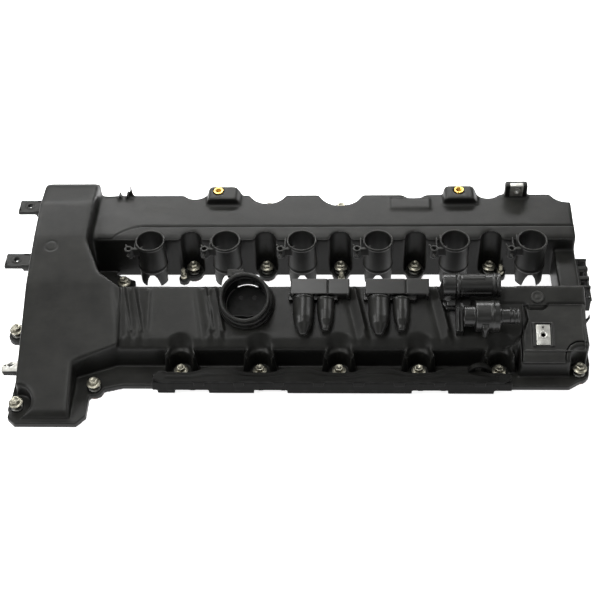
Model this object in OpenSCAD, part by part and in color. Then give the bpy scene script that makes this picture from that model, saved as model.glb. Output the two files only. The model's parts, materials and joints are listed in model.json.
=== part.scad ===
// Plastic cylinder head cover of a straight-six petrol engine, with its oil separator built in.
// The origin is in the plane of the gasket face, under the middle of the whole cover. Inside the
// modules, X is measured from the middle of the engine and Y from the line of the coil tubes.
// +X runs from the timing end to the rear end, +Z up. Millimetres.

/* [Engine] */
// Distance from one cylinder to the next
pitch = 91; // [84:0.5:110]
// Outer diameter of a coil tube
tube_od = 34.5; // [32:0.5:42]
// Bore of a coil tube, which the ignition coil's boot fills
tube_bore = 31; // [26:0.5:31]
// Height of the coil tubes' rims above the gasket face
tube_h = 80; // [72:1:100]
// Height of the coil tubes' lower rims above the gasket face
tube_foot = 36; // [24:1:44]
// Shank diameter of the cover screws
screw_d = 6; // [5:0.5:8]
// How much longer the screws of the back row are
long_step = 18; // [10:1:24]
// How far a captive screw can be pushed down before it seats
screw_travel = 6; // [4:0.5:12]

/* [Moulding] */
// Wall thickness of the moulding
wall = 3; // [2:0.1:4]
// Height of the gasket flange
flange_t = 8; // [7:0.5:9]
// Width of the gasket flange
flange_w = 14; // [12:0.5:18]
// Height of the bank over the rear camshaft
back_h = 66; // [58:1:80]
// Height of the ridge of the bank over the front camshaft
ridge_h = 68; // [64:1:80]
// Fall of the front bank's roof in degrees
roof_fall = 20; // [14:1:24]
// Depth of the rear bank from its valley wall to its outer wall
back_depth = 81; // [74:1:100]
// Width of the open valley that the coil tubes stand in
valley_w = 79; // [74:1:90]
// Height of the timing end's crown
timing_h = 89; // [84:1:96]
// Width of the timing end's box along the engine
timing_w = 69; // [60:1:84]

/* [Oil filler] */
// Outer diameter of the filler neck
filler_od = 57; // [50:1:62]
// Bore of the filler neck
filler_bore = 50; // [42:1:54]
// Lean of the filler neck in degrees
filler_tilt = 30; // [20:1:35]
// Length of the filler neck
filler_len = 42; // [36:1:50]

/* [Oil separator] */
// Height of the cyclone heads above the roof
head_h = 15; // [10:1:20]
// Diameter of a large cyclone at its head
cone_d = 24; // [18:1:28]
// Length of a large cyclone
cone_len = 46; // [36:1:50]
// Thickness of the rear lid
lid_wall = 2.5; // [2:0.1:4]

/* [Ventilation] */
// Outer diameter of the vent pipe
pipe_od = 26; // [20:1:28]
// Bore of the vent pipe
pipe_bore = 20; // [14:1:20]
// Diameter of the pressure valve's drum
drum_d = 35; // [30:1:38]
// Travel of the pressure valve's plate
valve_travel = 3; // [1:0.5:4]

/* [Fits] */
// Gap between pieces that are welded or clipped together
seam = 0.3; // [0.2:0.1:0.6]
// Radial clearance of a screw in its sleeve
screw_clear = 0.5; // [0.35:0.05:1]
// Radial clearance of the valve's stem in its guide
guide_clear = 0.08; // [0.04:0.01:0.1]

/* [Hidden] */
$fn = 48;
cylinders = 6;
mid_x = (cylinders - 1) / 2 * pitch;
lip_y = max(valley_w / 2 - 20.5, tube_od / 2 + 1.75);
valley_y = lip_y - valley_w;
back_y = lip_y + back_depth;
timing_r = -mid_x - 72.5;
timing_l = timing_r - timing_w;
rear_x = mid_x + 55.5;
valley_r = rear_x - 25;
front_wall_y = valley_y - 74;
near_y = front_wall_y - 15;
edge_y = near_y - 16;
front_end = edge_y - 50;
back_row_y = back_y + 5;
split_y = lip_y - 22;
timing_split_y = lip_y - 12;
valley_row_y = lip_y;
ridge_z = ridge_h;
gap_x = [for (i = [1:cylinders - 1]) (i - cylinders / 2) * pitch];
tube_x = [for (i = [0:cylinders - 1]) i * pitch - mid_x];
boss_r = 11;
boss_h = flange_t;
sleeve_r = screw_d / 2 + screw_clear + 1.2;
grommet_r = sleeve_r + 2.2;
rear_start = mid_x - 22.5;
lid_y = valley_y - 25;
lid_front = front_wall_y - 16;
deck_z = 30;
screw_pos = concat(
    [for (x = gap_x) [x, near_y]],
    [for (x = gap_x) [x, valley_row_y]],
    [for (x = gap_x) [x, back_row_y]],
    [[rear_x - 9, near_y + 4], [rear_x - 10, back_row_y - 8]],
    [[timing_r + 19, near_y - 20], [timing_r + 34, valley_row_y - 27]],
    [[timing_l + 3, front_end + 17], [timing_l - 16, near_y + 62]]
);
long_screws = [10, 11, 12, 13, 14];
near_screws = [0, 1, 2, 3, 4, 15];
valley_screws = [5, 6, 7, 8, 9, 18];
back_screws = [10, 11, 12, 13, 14, 16];
timing_screws = [17, 19, 20];
filler_pos = [-mid_x + pitch + 29.5, valley_y - 42, ridge_z + 21];
head_x = [-22, 67];
head_w = [68, 73];
pipe_pos = [159, valley_y - 15, ridge_z + 12];
pipe_len = 50;
drum_pos = [155, valley_y - 54, ridge_z + 2];
drum_len = 23 + valve_travel;
nozzle_d = 17;
insert_x = [-152, 146];
insert_boss_x = [-145, 148];
insert_y = back_y - 8;
insert_top = back_h + 10;
scallop_r = [16, 24, 28, 16, 16];
flange_round = 6;
ear_len = 38;
bracket_out = 14;
head_flange_r = 8.2;
tower_x = 216;
tower_nut_z = back_h + 12;
leg_len = 20;
leg_step = 0.6;
stud_at = [[-12, -11], [1, -14], [14, -4]];
duct_x0 = -214;
duct_x1 = 196;
nut_hole_r = 2.65;
nut_t = 3;

// Shared helpers

// puts the origin on the gasket face, under the middle of the whole cover
module at_mid() translate([-(timing_l - ear_len + rear_x + bracket_out) / 2,
    -(front_end - flange_round + back_row_y + boss_r) / 2, 0]) children();

// extrudes an outline in Y and Z from x0 to x1
module prism_x(x0, x1) translate([x0, 0, 0]) rotate([90, 0, 90]) linear_extrude(x1 - x0) children();

// rounds the outer corners of an outline
module soft(r) offset(r = r, $fn = 20) offset(delta = -r) children();

// puts its child on the front roof: local -Y runs down the slope, +Z stands off it
module on_roof(x, s = 0, h = 0)
    translate([x, valley_y, ridge_z]) rotate([roof_fall, 0, 0]) translate([0, -s, h]) children();

module rod_x(r, len) rotate([0, 90, 0]) cylinder(r = r, h = len);

module tube_x_axis(r_out, r_in, len) difference() {
    rod_x(r_out, len);
    translate([-1, 0, 0]) rod_x(r_in, len + 2);
}

// Outlines

function roof_z(y) = ridge_z - (valley_y - y) * tan(roof_fall);

module back_outline() soft(6) polygon([[lip_y, -20], [lip_y, back_h - 1], [back_y - 3, back_h],
    [back_y + 1, back_h - 14], [back_y + 3, -20]]);

module front_outline() soft(5) polygon([[valley_y, -20], [valley_y, ridge_z],
    [front_wall_y + 10, roof_z(front_wall_y + 10)], [front_wall_y, roof_z(front_wall_y + 10) - 9],
    [front_wall_y - 3, -20]]);

module rear_outline() soft(4) polygon([[valley_y, -20], [valley_y, ridge_z],
    [lid_front + 6, roof_z(lid_front + 6)], [lid_front, roof_z(lid_front + 6) - 5], [lid_front - 1, -20]]);

module timing_outline() soft(6) polygon([[back_y + 6, -20], [back_y + 6, timing_h - 12],
    [back_y - 6, timing_h - 4], [back_y - 42, timing_h], [lip_y - 15, timing_h - 5],
    [valley_y - 4, timing_h - 17], [front_wall_y + 10, timing_h - 40], [front_end + 6, 17],
    [front_end, 11], [front_end, -20]]);

module timing_plan() polygon([[timing_l, back_y + 6], [timing_l, front_end], [timing_r - 4, front_end],
    [timing_r - 4, front_wall_y - 20], [timing_r + 46, front_wall_y], [timing_r + 44, valley_y - 8],
    [timing_r + 17, valley_y + 14], [timing_r - 3, lip_y - 19], [timing_r - 1, back_y + 6]]);

module cover_plan() polygon([[timing_l - 6, back_row_y + 9], [timing_l - 6, front_end + 2],
    [timing_l + 3, front_end - 6], [timing_r + 4, front_end - 6], [timing_r + 14, front_end + 6],
    [timing_r + 14, edge_y - 16], [timing_r + 27, edge_y - 6], [timing_r + 50, edge_y],
    [rear_x - 22, edge_y], [rear_x + 2, edge_y + 16], [rear_x + 5, edge_y + 34],
    [rear_x + 5, back_row_y - 22], [rear_x - 16, back_row_y + 9]]);

module valley_plan() polygon([[timing_r + 24, lip_y], [timing_r + 20, lip_y - 5], [timing_r + 46, lip_y - 16],
    [timing_r + 50, valley_y], [valley_r, valley_y], [valley_r, lip_y]]);

module ring_plan(inset, width) difference() {
    offset(delta = -inset) difference() {
        cover_plan();
        valley_plan();
    }
    offset(delta = -inset - width) difference() {
        cover_plan();
        valley_plan();
    }
}

// the gasket's bead follows the flange and loops round each screw
module gasket_plan() difference() {
    union() {
        ring_plan(4, 5);
        for (p = screw_pos) translate(p) circle(r = grommet_r + 3.4);
    }
    for (p = screw_pos) translate(p) circle(r = grommet_r + 0.8);
}

// The moulding: one skin over both camshafts and the timing drive, open below

module banks(inset) {
    prism_x(timing_r - 10, rear_x - inset) offset(delta = -inset) back_outline();
    prism_x(timing_r + 40, rear_start + 5) offset(delta = -inset) front_outline();
    prism_x(rear_start + inset, rear_x - inset) offset(delta = -inset) rear_outline();
    intersection() {
        prism_x(timing_l - 1, timing_r + 60) offset(delta = -inset) timing_outline();
        translate([0, 0, -19]) linear_extrude(timing_h + 40) offset(delta = -inset) timing_plan();
    }
}

module end_wall(inset)
    translate([valley_r + inset, valley_y - 1, -19])
        cube([rear_x - valley_r - 2 * inset, valley_w + 2, 19 + 44 - inset]);

// round pockets that the screws stand in
module pockets(grow) {
    for (i = [0:cylinders - 2]) {
        x = gap_x[i];
        translate([x, valley_row_y, boss_h - grow]) cylinder(r = 12.5 + grow, h = 90);
        translate([x, back_row_y, boss_h + long_step - grow]) cylinder(r = scallop_r[i] + grow, h = 90);
        translate([x, near_y + 4, boss_h - grow]) cylinder(r = 12.5 + grow, h = 60);
        translate([x, near_y + 9, ridge_z - 38 - grow]) cylinder(r1 = 12 + grow, r2 = 24 + grow, h = 20);
        translate([x, near_y + 9, ridge_z - 18.01 - grow]) cylinder(r = 24 + grow, h = 30);
    }
    translate([rear_x - 9, near_y + 4, boss_h - grow]) cylinder(r = 12 + grow, h = 60);
    translate([rear_x - 4, back_row_y - 2, boss_h - grow]) cylinder(r = 21 + grow, h = 90);
    translate([timing_r + 19, near_y - 20, boss_h - grow]) cylinder(r = 14 + grow, h = 60);
    translate([timing_r + 34, valley_row_y - 27, boss_h - grow]) cylinder(r = 14 + grow, h = 90);
    translate([timing_l + 3, front_end + 17, boss_h - grow]) cylinder(r = 17.8 + grow, h = 60);
}

function is_long(i) = len(search(i, long_screws)) > 0;
function hub_h(i) = is_long(i) ? boss_h + long_step : boss_h;
function seat_z(i) = hub_h(i) + 1.5;

module at_screw(i) translate([screw_pos[i][0], screw_pos[i][1], 0]) children();

module screw_hubs() for (i = [0:len(screw_pos) - 1]) at_screw(i) cylinder(r = boss_r, h = hub_h(i));

module arch_bosses() for (x = gap_x) intersection() {
    translate([x, near_y + 4, 0]) cylinder(r1 = 21, r2 = 17, h = ridge_z - 26);
    translate([x - 30, near_y + 4, 0]) cube([60, 30, 60]);
}

module roof_ribs() {
    for (x = [-254, -242, -158, -147, 16, 111])
        on_roof(x, 4, -2) rotate([0, 0, 13]) translate([0, -58, 0]) cube([2.5, 58, 5]);
    for (x = [-224, -150]) on_roof(x, 8, -2) translate([0, -52, 0]) cube([3, 52, 3.6]);
}

module insert_bosses() for (x = insert_boss_x) translate([x, insert_y + 9, 0]) rotate([90, 0, 0])
    linear_extrude(24) soft(4) polygon([[-21, flange_t - 4], [21, flange_t - 4], [21, insert_top - 10],
        [15, insert_top], [-18, insert_top], [-21, insert_top - 6]]);

module back_pads() {
    translate([62, back_y - 32, back_h - 2]) cube([48, 19, 4]);
    translate([tower_x - 14, back_y - 12, back_h - 4]) cube([28, 11, tower_nut_z + 7.3 - back_h + 4]);
    for (x = [-278, -268]) translate([x, back_y - 14, back_h - 3]) cube([2.5, 13, 10]);
    translate([-262, back_y - 6, back_h - 3]) cylinder(r1 = 3, r2 = 1, h = 22);
}

module moulding() difference() {
    union() {
        difference() {
            union() {
                banks(0);
                end_wall(0);
            }
            pockets(0);
        }
        difference() {
            union() {
                linear_extrude(flange_t) difference() {
                    cover_plan();
                    valley_plan();
                }
                screw_hubs();
                arch_bosses();
                stud_lugs();
            }
            pockets(0);
        }
        difference() {
            union() {
                roof_ribs();
                insert_bosses();
            }
            pockets(0);
        }
        back_pads();
    }
    difference() {
        union() {
            banks(wall);
            end_wall(wall);
        }
        pockets(wall);
        screw_hubs();
        insert_bosses();
        linear_extrude(flange_t) ring_plan(0, flange_w);
        translate([0, 0, deck_z - wall]) linear_extrude(90) offset(delta = wall) lid_plan();
    }
    translate([0, 0, -40]) linear_extrude(40) square(1400, center = true);
    translate([0, 0, -1]) linear_extrude(3.6) gasket_plan();
    for (i = [0:len(screw_pos) - 1]) at_screw(i)
        translate([0, 0, -1]) cylinder(r = grommet_r, h = hub_h(i) + 2);
    for (x = insert_x) translate([x, insert_y, insert_top - 14]) cylinder(r = 6, h = 20);
    filler_cutter();
    lid_pocket();
    translate([tower_x, back_y, tower_nut_z]) rotate([90, 0, 0]) cylinder(r = 5, h = 30, center = true);
}

module stud_lugs() for (i = [0:2]) translate([gap_x[2 * i] + stud_at[i][0], valley_row_y + stud_at[i][1], 0])
    cylinder(r = 6.5, h = flange_t);

module filler_cutter() translate(filler_pos) rotate([filler_tilt, 0, 0])
    translate([0, 0, -filler_len]) cylinder(r = filler_od / 2 + 2, h = filler_len + 8);

module lid_plan() polygon([[rear_start + 8, lid_y], [rear_start + 11, lid_y - 18],
    [rear_start + 3, lid_y - 35], [rear_start + 3, lid_front - 9], [rear_x - 1, lid_front - 9],
    [rear_x - 1, lid_y], [rear_start + 36, lid_y], [rear_start + 29, lid_y - 6],
    [rear_start + 14, lid_y - 6]]);

module lid_pocket() translate([0, 0, deck_z]) linear_extrude(60) difference() {
    lid_plan();
    translate([rear_x - 9, near_y + 4]) circle(r = 12 + 2 * wall);
}

module lid_body(inset) intersection() {
    prism_x(rear_start, rear_x) offset(delta = -inset) rear_outline();
    translate([0, 0, deck_z + seam - inset]) linear_extrude(70) offset(delta = -seam - inset)
        difference() {
            lid_plan();
            translate([rear_x - 9, near_y + 4]) circle(r = 12 + 2 * wall);
        }
}

module timing_region() translate([0, 0, -1]) linear_extrude(160)
    polygon([[-460, 180], [timing_r, 180], [timing_r, timing_split_y], [timing_r + 52, timing_split_y],
        [timing_r + 52, valley_y + 2], [timing_r + 47, valley_y + 2], [timing_r + 47, -260], [-460, -260]]);

module back_region() translate([0, 0, -1]) linear_extrude(160)
    polygon([[timing_r, 180], [timing_r, timing_split_y], [timing_r + 52, timing_split_y],
        [timing_r + 52, split_y], [420, split_y], [420, 180]]);

module rear_region() translate([0, 0, -1]) linear_extrude(160)
    polygon([[rear_start, -260], [rear_start, valley_y + 8], [valley_r - 12, valley_y + 8],
        [valley_r - 12, split_y], [420, split_y], [420, -260]]);

// The four stretches of the moulding

module shell_timing_end() color("#26282a") at_mid() intersection() {
    moulding();
    timing_region();
}

module shell_back_bank() color("#2b2d2f") at_mid() intersection() {
    moulding();
    back_region();
}

module shell_front_bank() color("#232526") at_mid() difference() {
    intersection() {
        moulding();
        translate([timing_r, -260, -1]) cube([rear_start - timing_r, 260 + split_y, 160]);
    }
    timing_region();
}

module shell_rear_end() color("#292b2d") at_mid() intersection() {
    moulding();
    rear_region();
}

// Coil tubes: one round well for each ignition coil, with the eye that its plug clips to

module coil_tube(x) color("#2e3032") at_mid() translate([x, 0, 0]) {
    wall_t = (tube_od - tube_bore) / 2;
    difference() {
        union() {
            translate([0, 0, tube_foot]) cylinder(r = tube_od / 2, h = tube_h - tube_foot);
            translate([-24, -13, tube_h - 14]) cube([14, 4, 11]);
            translate([-25, -11, tube_h - 16]) cylinder(r = 5.2, h = 13);
            translate([-13, 8, tube_foot]) cube([26, lip_y - 8, tube_h - tube_foot - 20]);
        }
        translate([0, 0, -1]) cylinder(r = tube_bore / 2, h = tube_h + 2);
        translate([-25, -11, tube_h - 17]) cylinder(r = 2.6, h = 16);
        translate([0, 0, tube_h - 1]) cylinder(r1 = tube_bore / 2, r2 = tube_bore / 2 + wall_t / 2, h = 1.1);
    }
    for (side = [-1, 1]) tube_leg(side);
}

// each tube stands on nothing: two broad legs with an arch between them hang from its rim
module tube_leg(side) intersection() {
    translate([0, 0, tube_foot - leg_len]) tube_shell(tube_od / 2, tube_bore / 2 + leg_step, leg_len + 1);
    rotate([90, 0, 0]) linear_extrude(tube_od / 2) polygon([[side * 2, tube_foot + 1],
        [side * 17, tube_foot + 1], [side * 16, tube_foot - leg_len], [side * 8.5, tube_foot - leg_len],
        [side * 6.5, tube_foot - 10], [side * 5, tube_foot - 5]]);
}

module tube_shell(r_out, r_in, h) difference() {
    cylinder(r = r_out, h = h);
    translate([0, 0, -1]) cylinder(r = r_in, h = h + 2);
}

module coil_tube_1() coil_tube(tube_x[0]);
module coil_tube_2() coil_tube(tube_x[1]);
module coil_tube_3() coil_tube(tube_x[2]);
module coil_tube_4() coil_tube(tube_x[3]);
module coil_tube_5() coil_tube(tube_x[4]);
module coil_tube_6() coil_tube(tube_x[5]);

// Oil filler

module filler_neck() color("#303234") at_mid() translate(filler_pos) rotate([filler_tilt, 0, 0])
    difference() {
        union() {
            translate([0, 0, -filler_len]) cylinder(r = filler_od / 2, h = filler_len);
            translate([0, 0, -filler_len]) cylinder(r = filler_od / 2 + 2 - seam, h = filler_len - 14);
            translate([-filler_od / 4 - 6, filler_od / 2 - 4, -9]) cube([12, 9, 7]);
        }
        translate([0, 0, -filler_len - 1]) cylinder(r = filler_bore / 2, h = filler_len + 2);
    }

module filler_baffle() color("#1c1d1e") at_mid() intersection() {
    translate(filler_pos) rotate([filler_tilt, 0, 0]) translate([0, 0, -filler_len - 2.5]) difference() {
        cylinder(r = filler_bore / 2 + 1, h = 2.5);
        translate([-30, -28, -1]) cube([60, 14, 5]);
        for (x = [-8, 8]) translate([x, 10, -1]) cylinder(r = 5, h = 5);
    }
    prism_x(filler_pos[0] - 40, filler_pos[0] + 40) offset(delta = -wall - seam) front_outline();
}

// Cyclone separators

module separator_head(i) color("#1f2122") at_mid() on_roof(head_x[i] - head_w[i] / 2, 0, 0)
    difference() {
        union() {
            translate([0, -20, 0.2]) cube([head_w[i], 19, head_h]);
            translate([-2.5, -24, 0.2]) cube([head_w[i] * 0.82, 8, 7]);
        }
        translate([lid_wall, -20 + lid_wall, -1])
            cube([head_w[i] - 2 * lid_wall, 19 - 2 * lid_wall, head_h - 1.5]);
        translate([head_w[i] * 0.62, -25, head_h - 1.2]) cube([1.4, 30, 3]);
    }

module separator_head_1() separator_head(0);
module separator_head_2() separator_head(1);

module separator_cones(i) color("#1b1c1d") at_mid()
    for (k = [0, 1]) {
        d = cone_d * (1 - 0.2 * k);
        len = cone_len * (1 - 0.13 * k);
        x = head_x[i] - head_w[i] / 2 + 15 + 25.5 * k;
        on_roof(x, 24.3, 0.3 + d / 2) rotate([90, 0, 0]) difference() {
            union() {
                cylinder(r = d / 2, h = 9);
                translate([0, 0, 9]) cylinder(r1 = d / 2, r2 = d / 2 - 2, h = len - 24);
                translate([0, 0, len - 15]) cylinder(r1 = d / 2 - 2, r2 = 4.5, h = 15);
            }
            translate([0, 0, -1]) cylinder(r = d / 2 - 2, h = 10);
        }
    }

module separator_cones_1() separator_cones(0);
module separator_cones_2() separator_cones(1);

// welded under the front roof, it closes the separator's chamber and drains it to the head
module separator_tray_front() color("#3a3b3c") at_mid() difference() {
    union() {
        on_roof(-62, 9, -13) translate([0, -46, 0]) cube([206, 46, 2.5]);
        for (x = [-62, 141.5]) on_roof(x, 9, -13) translate([0, -46, 0]) cube([2.5, 46, 13 - wall]);
    }
    for (x = [-37, 52]) on_roof(x, 42, -14) cylinder(r = 4, h = 6);
}

// Rear separator: welded lid, its baffle and the weld disc on the body beside it

module rear_separator_lid() color("#2d2f31") at_mid() difference() {
    union() {
        lid_body(0);
        on_roof(rear_start + 15, 50, -1) translate([0, -29, 0]) cube([24, 29, 3]);
    }
    lid_body(lid_wall);
    on_roof(rear_start + 18.5, 51, 0.6) translate([0, -29, 0]) cube([17, 29, 9]);
    on_roof(rear_start + 27, 65, -12) cylinder(r = 5.2, h = 14);
    on_roof(rear_start + 18, 65 - 10.5, -7) cube([18, 2.6, 12]);
}

module rear_baffle() color("#3a3b3c") at_mid() {
    translate([rear_start + 14, lid_front + 20, deck_z]) cube([34, 22, 1.5]);
    translate([rear_start + 14, lid_front + 22, deck_z + 1.5]) cube([34, 2.5, 6]);
    translate([rear_start + 14, lid_front + 38, deck_z + 1.5]) cube([34, 2.5, 9]);
}

module weld_disc() color("#35373a") at_mid() on_roof(rear_start + 23, 18, 0.05) cylinder(r = 7.5, h = 1.6);

// Crankcase ventilation

module vent_pipe() color("#26282a") at_mid() translate([pipe_pos[0] - 25, pipe_pos[1], pipe_pos[2]]) {
    difference() {
        union() {
            rod_x(pipe_od / 2, pipe_len);
            translate([pipe_len - 8, 0, 0]) rod_x(pipe_od / 2 + 1.2, 2.5);
            translate([pipe_len - 3, 0, 0]) rod_x(pipe_od / 2 + 1.2, 3);
        }
        translate([2.5, 0, 0]) rod_x(pipe_bore / 2 + 0.8, 9);
        translate([2.5, 0, 0]) rod_x(pipe_bore / 2, pipe_len);
        translate([-1, 0, 0]) rod_x(2.5 + guide_clear, 5);
        for (a = [0:90:270]) rotate([a, 0, 0]) translate([-1, 6.4, 0]) rod_x(2, 5);
    }
}

module vent_elbow() color("#3c3f42") at_mid() difference() {
    union() {
        translate([pipe_pos[0] - 40, pipe_pos[1], pipe_pos[2]]) rod_x(pipe_od / 2 + 0.5, 15 - seam);
        translate([pipe_pos[0] - 40, pipe_pos[1] - 13, pipe_pos[2] - 12]) cube([15 - seam, 26, 12]);
        on_roof(pipe_pos[0] - 37, 8, 0.2) translate([0, -27, 0]) cube([28, 16, 5]);
        on_roof(pipe_pos[0] - 36, 8, 1) translate([0, -25, 0]) cube([10, 12, 10]);
    }
    translate([pipe_pos[0] - 37, pipe_pos[1], pipe_pos[2]]) rod_x(pipe_bore / 2, 15);
}

// keeps oil from being drawn back: a thin disc on a short stem, free to lift off its seat
module check_disc() color("#8a5a3a") at_mid() translate([pipe_pos[0] - 25, pipe_pos[1], pipe_pos[2]]) {
    translate([-2, 0, 0]) rod_x(2.5, 6);
    translate([2.5 + seam, 0, 0]) rod_x(9, 1.5);
}

module vent_strap() color("#2a2c2e") at_mid() on_roof(drum_pos[0] - 22, 35.5, 0.2) {
    translate([0, -30, 0]) cube([8, 30, 14]);
    translate([2, -30, 14]) cube([1.6, 30, 1.2]);
}

module valve_housing() color("#202223") at_mid() translate(drum_pos) difference() {
    union() {
        rod_x(drum_d / 2, drum_len);
        translate([-13.7, 0, 0]) rod_x(11.7, 14);
        translate([-1.2, 0, 0]) rod_x(drum_d / 2 - 2.5, 2);
        translate([6, -21, -8]) cube([7, 6, 12]);
    }
    translate([4, 0, 0]) rod_x(drum_d / 2 - 3, drum_len);
    translate([-14, 0, 0]) rod_x(9, 14.5);
    translate([-1, 0, 0]) rod_x(3 + guide_clear, 8);
}

module valve_cap() color("#303335") at_mid() translate(drum_pos) difference() {
    translate([drum_len - 4, 0, 0]) rod_x(drum_d / 2 - 3, 4);
    translate([drum_len - 5, 0, 0]) rod_x(nozzle_d / 2 - 3, 6);
}

module valve_diaphragm() color("#111214") at_mid() translate(drum_pos)
    translate([10.2, 0, 0]) tube_x_axis(drum_d / 2 - 3, 8.5, 1);

module valve_spring() color("#9a9da0") at_mid() translate(drum_pos)
    translate([12.8, 0, 0]) tube_x_axis(6.5, 5.2, drum_len - 17);

module valve_plate() color("#c8ccd0") at_mid() translate(drum_pos) {
    translate([9 - 0.2, 0, 0]) rod_x(8.2, 3.6);
    translate([-4, 0, 0]) rod_x(3, 13.5);
}

module vent_nozzle() color("#282a2c") at_mid() translate([drum_pos[0] + drum_len, drum_pos[1], drum_pos[2]])
    difference() {
        union() {
            tube_x_axis(nozzle_d / 2, nozzle_d / 2 - 3, 23);
            tube_x_axis(nozzle_d / 2 + 1.5, nozzle_d / 2 - 3, 3);
        }
    }

// Wiring duct along the near edge, with its snap cover and the clip at its end

module wiring_duct() color("#242628") at_mid() {
    prism_x(duct_x0, duct_x1) translate([edge_y - 8, flange_t + seam]) difference() {
        square([13, 14]);
        translate([2, 2]) square([9, 14]);
    }
    for (span = [[-208, 20], [-149, 52], [-59, 142], [124, 52]])
        translate([span[0], edge_y - 8, 3]) cube([span[1], 6, flange_t - 3 + seam]);
}

module duct_cover() color("#2a2c2e") at_mid()
    prism_x(duct_x0 + 2, duct_x1 - 2) translate([edge_y - 8.6, flange_t + seam + 14]) polygon([[0, 0],
        [0, 2.4], [3, 4], [11, 4], [14.2, 2.4], [14.2, 0]]);

module duct_end_clip() color("#2c2e30") at_mid() translate([159.5, near_y - 4, flange_t + 14])
    rotate([90, 0, 0]) linear_extrude(6) difference() {
        union() {
            circle(r = 13.5);
            translate([-13.5, -14]) square([27, 14]);
        }
        circle(r = 10.5);
        translate([-10.5, -15]) square([21, 15]);
    }

// Spring-steel clip nuts, with a threaded neck under the plate

module clip_nut(w, len) difference() {
    union() {
        translate([-w / 2, -len / 2, 0]) cube([w, len, 1.2]);
        translate([-w / 2, len / 2 - 1.2, -5]) cube([w, 1.2, 5.2]);
        translate([0, 0, -nut_t + 1.2]) cylinder(r = 4.4, h = nut_t);
    }
    translate([0, 0, -nut_t]) cylinder(r = nut_hole_r, h = nut_t * 3);
}

module clip_nut_timing() color("#c3c7c9") at_mid()
    translate([timing_l - 10, near_y - 2, 25]) rotate([0, 0, 90]) clip_nut(17, 19);

module clip_nut_back() color("#c3c7c9") at_mid()
    translate([tower_x, back_y - 12, tower_nut_z]) rotate([90, 0, 0]) clip_nut(16, 17);

module clip_nut_rear() color("#c3c7c9") at_mid()
    on_roof(rear_start + 27, 65, 0.8) clip_nut(16, 25);

// Brass threaded inserts

module brass_insert(x) color("#c9a13c") at_mid() translate([x, insert_y, insert_top - 14]) difference() {
    union() {
        cylinder(r = 6, h = 14);
        translate([0, 0, 13.8]) cylinder(r = 6, h = 1);
    }
    translate([0, 0, 2]) cylinder(r = 3.4, h = 20);
}

module brass_insert_1() brass_insert(insert_x[0]);
module brass_insert_2() brass_insert(insert_x[1]);

// Gasket

module gasket_outer() color("#5b3a2c") at_mid() linear_extrude(2.6) gasket_plan();

// Screws, each captive in a rubber grommet round a steel sleeve

module screw_sleeves() color("#b9bcbf") at_mid() for (i = [0:len(screw_pos) - 1]) at_screw(i)
    difference() {
        union() {
            translate([0, 0, seam]) cylinder(r = sleeve_r, h = seat_z(i) - seam);
            translate([0, 0, hub_h(i) + seam]) cylinder(r = grommet_r, h = seat_z(i) - hub_h(i) - seam);
        }
        translate([0, 0, -1]) cylinder(r = screw_d / 2 + screw_clear, h = hub_h(i) + 4);
    }

module screw_grommets() color("#141516") at_mid() for (i = [0:len(screw_pos) - 1]) at_screw(i)
    difference() {
        translate([0, 0, seam]) cylinder(r = grommet_r, h = hub_h(i));
        translate([0, 0, -1]) cylinder(r = sleeve_r, h = hub_h(i) + 4);
    }

// hexagon flange head over a plain shank; the tip just clears the gasket face
module cover_screw(shank) translate([0, 0, seam]) {
    cylinder(r = screw_d / 2, h = shank);
    translate([0, 0, shank]) cylinder(r = head_flange_r, h = 1.6);
    translate([0, 0, shank + 1.6]) cylinder(r = 5.4, h = 4.6, $fn = 6);
}

module screw_row(which) color("#b5b19a") at_mid()
    for (i = which) at_screw(i) cover_screw(seat_z(i) + screw_travel);

module screws_near_row() screw_row(near_screws);
module screws_valley_row() screw_row(valley_screws);
module screws_back_row() screw_row(back_screws);
module screws_timing_end() screw_row(timing_screws);

// bare studs that earth the coils
module ground_studs() color("#c8c2a4") at_mid() for (i = [0:2])
    translate([gap_x[2 * i] + stud_at[i][0], valley_row_y + stud_at[i][1], flange_t]) {
        cylinder(r = 2.5, h = 15);
        cylinder(r = 4, h = 5);
    }

// Brackets moulded for the wiring loom

module harness_bracket_rear() color("#222426") at_mid() {
    difference() {
        translate([rear_x, valley_y + 22, flange_t]) cube([bracket_out, 48, 30]);
        for (y = [25, 41, 57]) translate([rear_x + 2.5, valley_y + y, flange_t + 3]) cube([20, 10.5, 30]);
    }
    translate([rear_x, valley_y - 60, flange_t]) cube([4, 40, 20]);
}

module harness_ears_timing() color("#222426") at_mid() {
    for (p = [[back_y - 9, 50], [valley_y + 55, 50]]) translate([timing_l - ear_len, p[0] - 11, p[1] - 3])
        difference() {
            union() {
                cube([ear_len, 22, 5]);
                translate([ear_len - 9, 9, -24]) cube([9, 4, 24]);
            }
            translate([14, 11, -1]) cylinder(r = 3.2, h = 8);
        }
    translate([timing_l - 18, near_y - 11, 18]) difference() {
        cube([18, 18, 7]);
        translate([8, 9, -1]) cylinder(r = 5, h = 9);
    }
}

shell_timing_end();
shell_back_bank();
shell_front_bank();
shell_rear_end();
coil_tube_1();
coil_tube_2();
coil_tube_3();
coil_tube_4();
coil_tube_5();
coil_tube_6();
filler_neck();
filler_baffle();
separator_head_1();
separator_head_2();
separator_cones_1();
separator_cones_2();
separator_tray_front();
rear_separator_lid();
rear_baffle();
weld_disc();
vent_pipe();
vent_elbow();
vent_strap();
check_disc();
valve_housing();
valve_cap();
valve_diaphragm();
valve_spring();
valve_plate();
vent_nozzle();
duct_end_clip();
wiring_duct();
duct_cover();
clip_nut_timing();
clip_nut_back();
clip_nut_rear();
brass_insert_1();
brass_insert_2();
gasket_outer();
screw_sleeves();
screw_grommets();
screws_near_row();
screws_valley_row();
screws_back_row();
screws_timing_end();
ground_studs();
harness_bracket_rear();
harness_ears_timing();
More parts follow.
